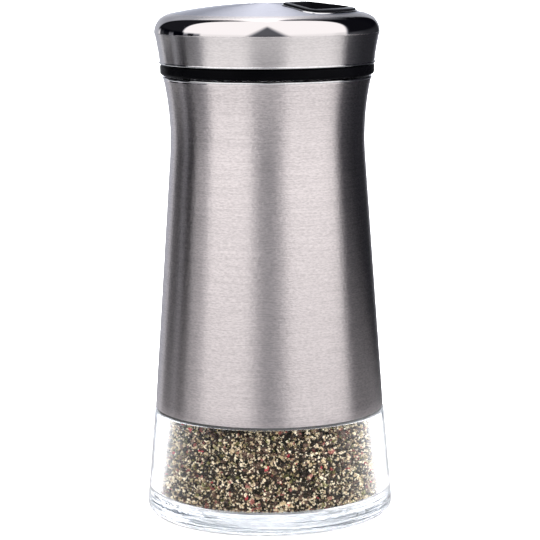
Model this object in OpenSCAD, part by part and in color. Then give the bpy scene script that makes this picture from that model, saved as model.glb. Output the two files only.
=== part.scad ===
// Table spice shaker: a glass jar in a waisted steel sleeve, closed by a screw cap
// whose steel top turns over five pour stations.
// The origin is the centre of the jar's foot, +Z is up and the units are millimetres.

/* [Sleeve] */
// Diameter of the waist, from which every other diameter is worked out
waist_d = 46.8; // [45:0.2:49]
// How much further the sleeve's lower edge stands out than the waist
sleeve_flare = 4.45; // [3.6:0.05:5.2]
// Height of the sleeve
sleeve_h = 80.3; // [76:0.4:90]
// Height of the waist above the sleeve's lower edge
waist_h = 65.6; // [58:0.5:68]
// Radius of the waist's curve, seen from the side
waist_curve_r = 67; // [60:1:76]
// Thickness of the steel sheet of the sleeve
sleeve_sheet = 0.5; // [0.4:0.05:0.6]
// Radius of the bend at the sleeve's top edge
sleeve_bend_r = 0.9; // [0.7:0.05:1.2]
// Thickness of the bond between the shoulder and the sleeve's flange
bond_h = 0.3; // [0.2:0.05:0.5]
// Thickness of the seal between the ledge and the sleeve
foot_seal_h = 0.6; // [0.4:0.1:1]

/* [Jar] */
// Height of the bare glass band, from the table to the ledge under the sleeve
band_h = 25.1; // [18:0.2:32]
// How far the glass stands out beyond the sleeve's lower edge
ledge_w = 0.2; // [0.1:0.05:0.4]
// How much further the foot stands out than the top of the band
foot_flare = 1.95; // [1:0.05:3]
// Rounding of the foot's outer edge
foot_edge_r = 2.2; // [1.5:0.1:3]
// Rounding of the ledge's outer edge
ledge_edge_r = 0.3; // [0.2:0.05:0.5]
// Thickness of the band's wall, just above the inner floor
band_wall = 2.5; // [2.2:0.1:3.2]
// Thickness of the wall inside the sleeve
body_wall = 2.4; // [1.8:0.1:3]
// Height of the inner floor above the table
floor_h = 4.4; // [3.5:0.1:6]
// Rounding between the inner floor and the wall
floor_corner_r = 1.6; // [1.2:0.1:3]
// Rise of the hollow under the foot
push_up = 0.9; // [0.5:0.1:1.4]
// Width of the ring that the foot stands on
foot_ring_w = 3.8; // [2.5:0.1:5]
// Width of the shoulder, from the thread to the side of the jar
shoulder_w = 2.75; // [2.4:0.05:3.4]
// Rounding of the shoulder's edge
shoulder_edge_r = 1; // [0.6:0.1:1.3]
// How far the thread stands out from the neck
thread_h = 0.9; // [0.6:0.05:1.1]
// Thickness of the neck's wall
neck_wall = 2.6; // [2:0.1:3]
// Height of the neck above the shoulder
neck_h = 9.4; // [8.6:0.1:10]
// Rounding of the neck's rim
rim_r = 0.8; // [0.5:0.1:0.9]

/* [Spice] */
// Height of the spice above the inner floor, at the wall
fill_h = 31; // [24:0.5:60]
// Rise of the spice's middle above its edge
fill_crown = 2; // [0.5:0.5:4]

/* [Collar and pour plate] */
// Thickness of the neck gasket
gasket_h = 0.8; // [0.6:0.1:1.2]
// Thickness of the collar's wall
collar_wall = 2; // [1.6:0.1:2.4]
// Thickness of the collar's flange, which presses the gasket and carries the pour plate
flange_h = 1.2; // [0.9:0.1:1.4]
// Width of the collar's rim round the pour plate
rim_w = 1.3; // [1:0.1:1.6]
// Rounding of the collar's top edge
collar_edge_r = 0.6; // [0.3:0.1:0.8]
// Height of the black grip ring that shows under the cap
ring_h = 2.5; // [2:0.1:3.5]
// Rounding of the grip ring's edges
ring_edge_r = 0.4; // [0.2:0.05:0.6]
// Height of the land above the grip ring that guides the liner
guide_h = 1.7; // [1.2:0.1:2.4]
// How far the guiding land stands out from the collar's wall
guide_w = 1; // [0.6:0.1:1.4]
// Thickness of the domed pour plate
plate_wall = 1.4; // [1:0.1:1.6]
// Width of the pour plate's rim, which stands on the collar's flange
plate_rim_w = 1.4; // [1:0.1:2]

/* [Pour stations] */
// Distance from the jar's mouth in to the middle of the outer row of holes
row_inset = 1.3; // [1.1:0.1:1.5]
// Distance between the inner and the outer row
row_step = 3.5; // [3.1:0.1:3.7]
// Angle from the first hole of a row to the last
row_angle = 40; // [36:1:42]
// Diameter of the fine holes
fine_hole_d = 1.2; // [0.8:0.1:1.4]
// Diameter of the medium holes
medium_hole_d = 2; // [1.6:0.1:2.2]
// Diameter of the coarse holes
coarse_hole_d = 3; // [2.4:0.1:3.2]
// Width of the pour slot, outwards from the hub to the jar's mouth
slot_w = 5.8; // [5:0.1:6.4]
// Angle of the pour slot
slot_angle = 44; // [40:1:48]
// Rounding of the pour slot's corners
slot_corner_r = 0.8; // [0.6:0.1:1]

/* [Cap] */
// How much further the cap's shoulder stands out than its lower edge
cap_flare = 1.25; // [0.8:0.05:1.6]
// Height of the skirt, from the lower edge to the shoulder
skirt_h = 7.45; // [6.8:0.05:8.5]
// Radius of the skirt's hollow curve, seen from the side
skirt_curve_r = 46; // [40:1:60]
// Rounding of the cap's shoulder
cap_shoulder_r = 4.5; // [4.2:0.1:5]
// Rise of the crown's middle above the shoulder
crown_h = 6.8; // [6.4:0.1:7.4]
// Thickness of the steel sheet of the cap
cap_sheet = 0.5; // [0.4:0.05:0.6]
// Radius of the bend at the cap's lower edge
hem_r = 0.8; // [0.7:0.05:0.9]
// Width of the hem that turns in to the liner
hem_w = 1; // [0.95:0.05:1.2]
// Thickness of the plastic liner under the crown
liner_wall = 1.3; // [1:0.1:1.4]
// Thickness of the liner's side, inside the skirt
liner_side = 1; // [0.8:0.05:1.2]
// Height of the bead that bonds the liner to the skirt
bead_h = 2.2; // [1.5:0.1:3]

/* [Dial window] */
// Direction of the window's middle at rest, from +X towards +Y
window_turn = -28; // [-180:1:180]
// Distance from the cap's shoulder in to the window's clear opening
window_inset = 7.5; // [7:0.1:8]
// Length of the clear opening, inwards from its outer side
window_l = 9.9; // [9:0.1:10.4]
// Angle of the clear opening between its two straight sides
window_angle = 58; // [54:1:60]
// Rounding of the clear opening's corners
window_corner_r = 1.2; // [0.8:0.1:1.6]
// Thickness of the bezel's wall, which passes through the steel
bezel_wall = 0.8; // [0.6:0.1:1]
// Width of the bezel's lip over the steel
bezel_lip_w = 0.7; // [0.5:0.1:0.9]
// Height of the bezel's lip over the steel
bezel_lip_h = 0.7; // [0.5:0.1:1]

/* [Hub] */
// Diameter of the liner's hub boss
hub_d = 6.8; // [6.2:0.1:7.4]
// Diameter of the flat pad under the plate's middle
hub_pad_d = 13.4; // [12.8:0.2:14]
// Depth of the pad under the plate
hub_pad_h = 0.3; // [0.25:0.05:0.5]
// Diameter of the hub washer
washer_d = 12; // [11:0.2:12.6]
// Thickness of the hub washer
washer_h = 0.6; // [0.4:0.1:0.8]
// Diameter of the screw's shank
screw_d = 2.5; // [2.2:0.1:2.9]
// Length of the screw's shank in the boss
screw_l = 2.6; // [2:0.1:2.8]
// Diameter of the screw's head
screw_head_d = 5.4; // [4.8:0.1:6]
// Height of the screw's head
screw_head_h = 1.5; // [1.2:0.1:2]
// Width of the slots of the screw's cross recess
recess_w = 0.7; // [0.5:0.1:0.9]
// Length of the slots of the screw's cross recess
recess_l = 3.2; // [2.6:0.1:3.6]
// Depth of the screw's cross recess
recess_h = 0.8; // [0.5:0.1:1]

/* [Clearances] */
// Gap between two pieces of one body that fit together
fit_gap = 0.05; // [0.03:0.01:0.08]
// Gap between pieces that turn on each other
turn_gap = 0.2; // [0.15:0.05:0.3]
// Radial gap of the hub boss in the plate
hub_gap = 0.08; // [0.05:0.01:0.1]
// Gap between the neck's thread and the collar's bore
thread_gap = 0.6; // [0.4:0.05:0.8]
// Gap between the glass and the sleeve around it
sleeve_gap = 0.25; // [0.15:0.05:0.3]
// Gap between the spice and the glass
fill_gap = 0.15; // [0.1:0.05:0.25]
// Gap between the grip ring and the sleeve's flange
ring_gap = 0.35; // [0.2:0.05:0.5]

/* [Hidden] */
$fn = 96;
over = 1; // how far a cut runs past what it cuts

// The pour stations round the plate, one after another: the diameter of the holes and how many
// there are in the inner, middle and outer row. The first is closed and the last is a slot.
STATIONS = [[0, []], [fine_hole_d, [4, 5, 6]], [medium_hole_d, [3, 0, 4]], [coarse_hole_d, [2, 0, 3]], [0, []]];
station_step = 360 / len(STATIONS);

// Heights, from the table up
sleeve_z = band_h + foot_seal_h;
sleeve_top_z = sleeve_z + sleeve_h;
shoulder_z = sleeve_top_z - sleeve_sheet - bond_h;
rim_z = shoulder_z + neck_h;
gasket_top_z = rim_z + gasket_h;
seat_z = gasket_top_z + flange_h;
ring_z = sleeve_top_z + ring_gap;
ring_top_z = ring_z + ring_h;
cap_z = ring_top_z + turn_gap;
cap_shoulder_z = cap_z + skirt_h;
crown_z = cap_shoulder_z + crown_h;
fill_z = floor_h + fill_h;

// Radii of the jar and the sleeve, from the waist outwards to the foot and inwards to the mouth
body_inset = sleeve_sheet + sleeve_gap;
inner_inset = body_inset + body_wall;
body_r = waist_d / 2 - body_inset;
sleeve_foot_r = waist_d / 2 + sleeve_flare;
band_top_r = sleeve_foot_r + ledge_w;
foot_r = band_top_r + foot_flare;
thread_r = body_r - shoulder_w;
neck_r = thread_r - thread_h;
mouth_r = neck_r - neck_wall;
flange_r = thread_r + sleeve_gap;

// Radii of the lid, from the thread outwards
bore_r = thread_r + thread_gap;
collar_r = bore_r + collar_wall;
seat_r = collar_r - rim_w;
guide_r = collar_r + guide_w;
liner_r = guide_r + turn_gap + liner_side;
hem_inner_r = liner_r + fit_gap;
cap_lower_r = hem_inner_r + hem_w;
ring_r = cap_lower_r - fit_gap;
cap_r = cap_lower_r + cap_flare;
land_r = mouth_r + rim_r / 2;
hub_bore_r = hub_d / 2 + hub_gap;

// An arc of n steps about c, from angle a to angle b
function arc(c, r, a, b, n) = [for (i = [0:n]) let (t = a + (b - a) * i / n) c + r * [cos(t), sin(t)]];
function reversed(points) = [for (i = [len(points) - 1:-1:0]) points[i]];

// The sleeve's side: a straight cone that runs tangentially into the waist's curve.
// Every surface of it is this line, moved inwards by an inset.
waist_c = [waist_d / 2 + waist_curve_r, sleeve_z + waist_h];
cone_from_c = [waist_c[0] - sleeve_foot_r, waist_h];
cone_angle = atan2(cone_from_c[1], cone_from_c[0]) - acos(waist_curve_r / norm(cone_from_c));
bend_z = sleeve_top_z - sleeve_bend_r;
bend_angle = asin((waist_c[1] - bend_z) / (waist_curve_r + sleeve_bend_r));
bend_c = waist_c - (waist_curve_r + sleeve_bend_r) * [cos(bend_angle), sin(bend_angle)];
function cone_r(z, inset) = sleeve_foot_r - inset / cos(cone_angle) - (z - sleeve_z) * tan(cone_angle);
function waist_line(inset, from_z, to_angle) = concat(
    [[cone_r(from_z, inset), from_z]],
    [for (p = arc([0, 0], waist_curve_r + inset, cone_angle, to_angle, 12)) waist_c - p]);
function sleeve_path(inset) = concat(
    waist_line(inset, sleeve_z, bend_angle),
    arc(bend_c, sleeve_bend_r - inset, bend_angle, 90, 6),
    [[flange_r, sleeve_top_z - inset]]);

// The cap's surface: a crown, a rounded shoulder and a hollow skirt, with the same kind of inset
shoulder_c = [cap_r - cap_shoulder_r, cap_shoulder_z];
crown_r = (pow(shoulder_c[0], 2) + pow(crown_h, 2) - pow(cap_shoulder_r, 2)) / (2 * (crown_h - cap_shoulder_r));
crown_c = [0, crown_z - crown_r];
crown_angle = atan2(shoulder_c[1] - crown_c[1], shoulder_c[0]);
skirt_chord = [cap_flare, skirt_h];
skirt_middle = [(cap_r + cap_lower_r) / 2, cap_z + skirt_h / 2];
skirt_c = skirt_middle + sqrt(pow(skirt_curve_r, 2) - pow(norm(skirt_chord) / 2, 2))
    * [skirt_chord[1], -skirt_chord[0]] / norm(skirt_chord);
hem_angle = asin((skirt_c[1] - cap_z - hem_r) / (skirt_curve_r + hem_r));
hem_c = skirt_c - (skirt_curve_r + hem_r) * [cos(hem_angle), sin(hem_angle)];
hem_z = hem_c[1] + hem_r * sin(hem_angle);
function crown_at(r, inset) = crown_c[1] + sqrt(pow(crown_r - inset, 2) - r * r);
function crown_line(inset) = arc(crown_c, crown_r - inset, 90, crown_angle, 12);
function skirt_at(z, inset) = skirt_c[0] - sqrt(pow(skirt_curve_r + inset, 2) - pow(z - skirt_c[1], 2));
function shell_path(inset) = concat(
    crown_line(inset),
    arc(shoulder_c, cap_shoulder_r - inset, crown_angle, 0, 10),
    [for (i = [1:6]) let (z = cap_shoulder_z + (hem_z - cap_shoulder_z) * i / 6) [skirt_at(z, inset), z]],
    arc(hem_c, hem_r - inset, hem_angle, -90, 5),
    [[hem_inner_r, cap_z + inset]]);

// A layer's surface between two radii, in either direction
function crown_between(inset, from_r, to_r) = [for (i = [0:8]) let (r = from_r + (to_r - from_r) * i / 8)
    [r, crown_at(r, inset)]];
// A layer's surface from the axis, over the shoulder's curve, to an upright wall at a radius
function capped_crown(inset, wall_r) = concat(
    crown_line(inset),
    arc(shoulder_c, cap_shoulder_r - inset, crown_angle, acos((wall_r - shoulder_c[0]) / (cap_shoulder_r - inset)), 4));

// Insets of the layers under the steel crown, and heights of the hub under them
liner_top = cap_sheet + fit_gap;
liner_under = liner_top + liner_wall;
plate_top = liner_under + turn_gap;
plate_under = plate_top + plate_wall;
hub_pad_z = crown_z - plate_under - hub_pad_h;
washer_z = hub_pad_z - turn_gap;

// The jar's inner side, moved inwards by a gap, from the middle of the floor up to the ledge
function band_r(z) = foot_r - foot_flare * (z - foot_edge_r) / (band_h - foot_edge_r);
corner_z = floor_h + floor_corner_r;
corner_c = [band_r(corner_z) - band_wall - floor_corner_r, corner_z];
function jar_floor(gap) = concat(
    [[0, floor_h + gap]],
    arc(corner_c, floor_corner_r - gap, -90, 0, 6),
    [[cone_r(band_h, inner_inset) - gap, band_h]]);

// A sector between two radii with round corners, grown outwards all round by a distance,
// so that its straight sides stay parallel to those of the sector that it grew from
function sector_outline(inner_r, outer_r, angle, corner_r, grow) =
    let (ri = inner_r - grow, ro = outer_r + grow, c = corner_r + grow,
         inner_a = angle / 2 + asin((grow - c) / (ri + c)), outer_a = angle / 2 + asin((grow - c) / (ro - c)),
         side_a = angle / 2 + 90,
         half = concat(
             arc([0, 0], ro, 0, outer_a, 5),
             arc((ro - c) * [cos(outer_a), sin(outer_a)], c, outer_a, side_a, 5),
             arc((ri + c) * [cos(inner_a), sin(inner_a)], c, side_a, 180 + inner_a, 5),
             arc([0, 0], ri, inner_a, 0, 4)))
    concat(half, [for (i = [len(half) - 2:-1:1]) [half[i][0], -half[i][1]]]);

module spun(points) {
    rotate_extrude() polygon(points);
}

// A flat ring between two radii and two heights
module ring(inner_r, outer_r, low_z, high_z) {
    spun([[inner_r, low_z], [outer_r, low_z], [outer_r, high_z], [inner_r, high_z]]);
}

module window_prism(grow, low_z, high_z) {
    window_outer_r = cap_r - window_inset;
    rotate([0, 0, window_turn]) translate([0, 0, low_z])
        linear_extrude(high_z - low_z)
            polygon(sector_outline(window_outer_r - window_l, window_outer_r, window_angle, window_corner_r, grow));
}

// Everything under the crown at one inset, down to the shoulder
module under_crown(inset) {
    spun(concat(crown_line(inset), [[shoulder_c[0], cap_shoulder_z], [0, cap_shoulder_z]]));
}

module glass_jar() {
    ring_inner_r = foot_r - foot_edge_r - foot_ring_w;
    push_up_r = (pow(ring_inner_r, 2) + pow(push_up, 2)) / (2 * push_up);
    shoulder_curve_r = body_r - body_wall - mouth_r;
    outside = concat(
        arc([0, push_up - push_up_r], push_up_r, 90, 90 - 2 * atan(push_up / ring_inner_r), 8),
        arc([foot_r - foot_edge_r, foot_edge_r], foot_edge_r, -90, 0, 8),
        arc([band_top_r - ledge_edge_r, band_h - ledge_edge_r], ledge_edge_r, 0, 90, 4),
        waist_line(body_inset, band_h, 0),
        arc([body_r - shoulder_edge_r, shoulder_z - shoulder_edge_r], shoulder_edge_r, 0, 90, 5),
        [[neck_r, shoulder_z]],
        arc([neck_r - rim_r, rim_z - rim_r], rim_r, 0, 90, 4),
        arc([mouth_r + rim_r, rim_z - rim_r], rim_r, 90, 180, 4));
    inside = concat(
        jar_floor(0),
        waist_line(inner_inset, band_h + 2 * ledge_edge_r, 0),
        arc([mouth_r, shoulder_z - body_wall - shoulder_curve_r], shoulder_curve_r, 0, 90, 5));
    color([0.86, 0.92, 0.95, 0.45]) spun(concat(outside, reversed(inside)));
}

module spice_fill() {
    edge_r = cone_r(fill_z, inner_inset) - fill_gap;
    top = [for (i = [0:6]) [edge_r * cos(15 * i), fill_z + fill_crown * sin(15 * i)]];
    color([0.45, 0.36, 0.26]) spun(concat(jar_floor(fill_gap), top));
}

module sleeve_foot_seal() {
    color([0.2, 0.2, 0.21])
        ring(cone_r(band_h, body_inset) + fit_gap, sleeve_foot_r - ledge_edge_r, band_h, sleeve_z);
}

module steel_sleeve() {
    color([0.78, 0.77, 0.76]) spun(concat(sleeve_path(0), reversed(sleeve_path(sleeve_sheet))));
}

module sleeve_bond_ring() {
    color([0.9, 0.9, 0.86]) ring(flange_r, body_r - shoulder_edge_r, shoulder_z, shoulder_z + bond_h);
}

module neck_gasket() {
    color([0.93, 0.93, 0.9]) ring(mouth_r + fit_gap, bore_r - fit_gap, rim_z, gasket_top_z);
}

module screw_collar() {
    edge_z = crown_at(collar_r - collar_edge_r, plate_top) - collar_edge_r;
    color([0.06, 0.06, 0.065]) spun(concat(
        [[bore_r, ring_z]],
        arc([ring_r - ring_edge_r, ring_z + ring_edge_r], ring_edge_r, -90, 0, 4),
        arc([ring_r - ring_edge_r, ring_top_z - ring_edge_r], ring_edge_r, 0, 90, 4),
        [[guide_r, ring_top_z], [guide_r, ring_top_z + guide_h], [collar_r, ring_top_z + guide_h]],
        arc([collar_r - collar_edge_r, edge_z], collar_edge_r, 0, 90, 4),
        [[seat_r, crown_at(seat_r, plate_top)], [seat_r, seat_z], [land_r, seat_z],
         [land_r, gasket_top_z], [bore_r, gasket_top_z]]));
}

// What one station cuts out of the plate, about the direction +X: rows of holes or the slot
module station_cut(station, last) {
    outer_row_r = mouth_r - row_inset;
    high_z = crown_z;
    for (row = [0:len(station[1]) - 1], i = [0:station[1][row] - 1])
        rotate([0, 0, row_angle * (i / (station[1][row] - 1) - 0.5)])
            translate([outer_row_r - row_step * (1 - row / 2), 0, seat_z])
                cylinder(d = station[0], h = high_z - seat_z, $fn = 24);
    if (last)
        translate([0, 0, seat_z]) linear_extrude(high_z - seat_z)
            polygon(sector_outline(mouth_r - slot_w, mouth_r, slot_angle, slot_corner_r, 0));
}

module pour_plate() {
    plate_r = seat_r - fit_gap;
    rim_inner_r = plate_r - plate_rim_w;
    color([0.05, 0.05, 0.055]) difference() {
        spun(concat(
            [[rim_inner_r, seat_z], [plate_r, seat_z]],
            crown_between(plate_top, plate_r, hub_bore_r),
            [[hub_bore_r, hub_pad_z], [hub_pad_d / 2, hub_pad_z]],
            crown_between(plate_under, hub_pad_d / 2, rim_inner_r)));
        for (i = [0:len(STATIONS) - 1])
            rotate([0, 0, window_turn + station_step * i])
                station_cut(STATIONS[i], i == len(STATIONS) - 1);
    }
}

module dial_liner() {
    inner_r = liner_r - liner_side;
    pilot_r = screw_d / 2 + fit_gap;
    color([0.05, 0.05, 0.055]) difference() {
        union() {
            spun(concat(
                capped_crown(liner_top, liner_r),
                [[liner_r, cap_z], [inner_r, cap_z]],
                reversed(capped_crown(liner_under, inner_r))));
            translate([0, 0, washer_z]) cylinder(d = hub_d, h = crown_z - liner_top - liner_wall / 2 - washer_z);
        }
        window_prism(bezel_wall + fit_gap, seat_z, crown_z + over);
        translate([0, 0, washer_z - over]) cylinder(r = pilot_r, h = over + screw_l + fit_gap);
    }
}

module window_bezel() {
    color([0.03, 0.03, 0.035]) difference() {
        intersection() {
            union() {
                window_prism(bezel_wall, seat_z, crown_z + over);
                difference() {
                    window_prism(bezel_wall + bezel_lip_w, seat_z, crown_z + over);
                    under_crown(-fit_gap);
                }
            }
            difference() {
                under_crown(-bezel_lip_h);
                under_crown(liner_under);
            }
        }
        window_prism(0, seat_z - over, crown_z + 2 * over);
    }
}

module cap_shell() {
    color([0.8, 0.8, 0.82]) difference() {
        spun(concat(shell_path(0), reversed(shell_path(cap_sheet))));
        window_prism(bezel_wall + fit_gap, cap_shoulder_z, crown_z + over);
    }
}

module cap_bond_bead() {
    low_z = cap_z + (skirt_h - bead_h) / 2;
    high_z = low_z + bead_h;
    inset = cap_sheet + fit_gap;
    color([0.85, 0.85, 0.8]) spun([
        [liner_r + fit_gap, low_z], [skirt_at(low_z, inset), low_z],
        [skirt_at(high_z, inset), high_z], [liner_r + fit_gap, high_z]]);
}

module hub_washer() {
    color([0.75, 0.75, 0.76]) ring(screw_d / 2 + fit_gap, washer_d / 2, washer_z - washer_h, washer_z);
}

module hub_screw() {
    head_top_z = washer_z - washer_h;
    head_z = head_top_z - screw_head_h;
    head_edge_r = screw_head_h / 2;
    tip_z = washer_z + screw_l;
    color([0.72, 0.72, 0.74]) difference() {
        spun(concat(
            [[0, head_z]],
            arc([screw_head_d / 2 - head_edge_r, head_z + head_edge_r], head_edge_r, -90, 0, 6),
            [[screw_head_d / 2, head_top_z], [screw_d / 2, head_top_z], [screw_d / 2, tip_z], [0, tip_z]]));
        for (turn = [0, 90])
            rotate([0, 0, turn]) translate([-recess_l / 2, -recess_w / 2, head_z - over])
                cube([recess_l, recess_w, over + recess_h]);
    }
}

glass_jar();
spice_fill();
sleeve_foot_seal();
steel_sleeve();
sleeve_bond_ring();
neck_gasket();
screw_collar();
pour_plate();
dial_liner();
window_bezel();
cap_shell();
cap_bond_bead();
hub_washer();
hub_screw();
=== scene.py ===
"""The looks of a table spice shaker: pressed glass, brushed and bright steel, black plastic, pepper."""
import logging
import math
from dataclasses import dataclass
from enum import Enum
from itertools import combinations
from typing import Sequence

import bmesh
import bpy
import numpy as np
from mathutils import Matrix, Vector


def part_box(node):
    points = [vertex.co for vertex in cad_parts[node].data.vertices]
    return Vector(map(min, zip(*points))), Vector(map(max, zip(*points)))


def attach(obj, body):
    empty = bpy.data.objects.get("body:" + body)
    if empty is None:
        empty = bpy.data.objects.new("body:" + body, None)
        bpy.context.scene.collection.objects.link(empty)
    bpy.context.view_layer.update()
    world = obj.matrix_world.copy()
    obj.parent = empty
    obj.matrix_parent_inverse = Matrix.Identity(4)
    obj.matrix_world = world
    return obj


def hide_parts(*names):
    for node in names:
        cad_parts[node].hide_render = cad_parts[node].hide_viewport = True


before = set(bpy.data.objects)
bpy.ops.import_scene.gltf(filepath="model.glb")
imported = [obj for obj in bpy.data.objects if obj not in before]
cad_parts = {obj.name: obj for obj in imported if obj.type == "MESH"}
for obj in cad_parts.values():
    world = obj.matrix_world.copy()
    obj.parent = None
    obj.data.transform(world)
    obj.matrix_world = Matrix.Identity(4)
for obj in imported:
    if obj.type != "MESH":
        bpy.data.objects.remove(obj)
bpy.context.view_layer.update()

LOG = logging.getLogger("shaker")

MM = 0.001
TURN = 2 * math.pi
TONE = "tone"

Colour = tuple[float, float, float]
Point = tuple[float, float]
Socket = bpy.types.NodeSocket
Settings = dict[str, object]
Sockets = dict[str | int, object]
Material = bpy.types.Material
Mesh = bpy.types.Mesh
Object = bpy.types.Object
Wired = "float | Value"


class Body(Enum):
    """The bodies that this script's own pieces ride on."""

    JAR = "jar"
    COLLAR = "collar"
    DIAL = "dial"


# ---------------------------------------------------------------- shader maths


class Value:
    """A number in a shader. Arithmetic on it adds Math nodes."""

    def __init__(self, paint: "Paint", socket: Socket) -> None:
        """Wraps a node's output in the tree that it belongs to."""
        self.paint = paint
        self.socket = socket

    def _math(self, operation: str, *values: Wired) -> "Value":
        """The result of a Math node, with its inputs in order."""
        return self.paint.value("ShaderNodeMath", {"operation": operation}, dict(enumerate(values)))

    def __add__(self, other: Wired) -> "Value":
        """self + other."""
        return self._math("ADD", self, other)

    __radd__ = __add__

    def __sub__(self, other: Wired) -> "Value":
        """self - other."""
        return self._math("SUBTRACT", self, other)

    def __rsub__(self, other: Wired) -> "Value":
        """other - self."""
        return self._math("SUBTRACT", other, self)

    def __mul__(self, other: Wired) -> "Value":
        """self * other."""
        return self._math("MULTIPLY", self, other)

    __rmul__ = __mul__

    def __pow__(self, power: Wired) -> "Value":
        """self to a power."""
        return self._math("POWER", self, power)

    def __abs__(self) -> "Value":
        """The size of the number, without its sign."""
        return self._math("ABSOLUTE", self)

    def angle_from(self, other: "Value") -> "Value":
        """The angle whose tangent is self / other, in degrees."""
        return self._math("ARCTAN2", self, other) * (360 / TURN)

    def hypot(self, other: "Value") -> "Value":
        """The long side of a right triangle with the sides self and other."""
        return (self * self + other * other) ** 0.5

    def at_least(self, low: float) -> "Value":
        """The number, or low where it is less."""
        return self._math("MAXIMUM", self, low)

    def step(self, low: float, high: float, out_low: float = 0.0, out_high: float = 1.0) -> "Value":
        """A smooth step from out_low at low to out_high at high.

        Args:
            low: Where the step starts.
            high: Where it ends.
            out_low: The result at and below low.
            out_high: The result at and above high.

        Returns:
            The stepped value.
        """
        return self.paint.value(
            "ShaderNodeMapRange",
            {"interpolation_type": "SMOOTHSTEP"},
            {"Value": self, "From Min": low, "From Max": high, "To Min": out_low, "To Max": out_high},
        )

    def above(self, level: float, soft: float) -> "Value":
        """0 below a level and 1 above it, with an edge softened by a distance to either side."""
        return self.step(level - soft, level + soft)

    def below(self, level: float, soft: float) -> "Value":
        """1 below a level and 0 above it, with an edge softened in the same way."""
        return self.step(level - soft, level + soft, 1.0, 0.0)

    def between(self, low: float, high: float, soft: float) -> "Value":
        """1 between low and high and 0 outside, with edges softened in the same way."""
        return self.above(low, soft) * self.below(high, soft)

    def spread(self, low: float, high: float, reach: float = 0.2) -> "Value":
        """Noise stretched from 0.5, give or take a reach, to a range of its own."""
        return self.step(0.5 - reach, 0.5 + reach, low, high)


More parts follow.
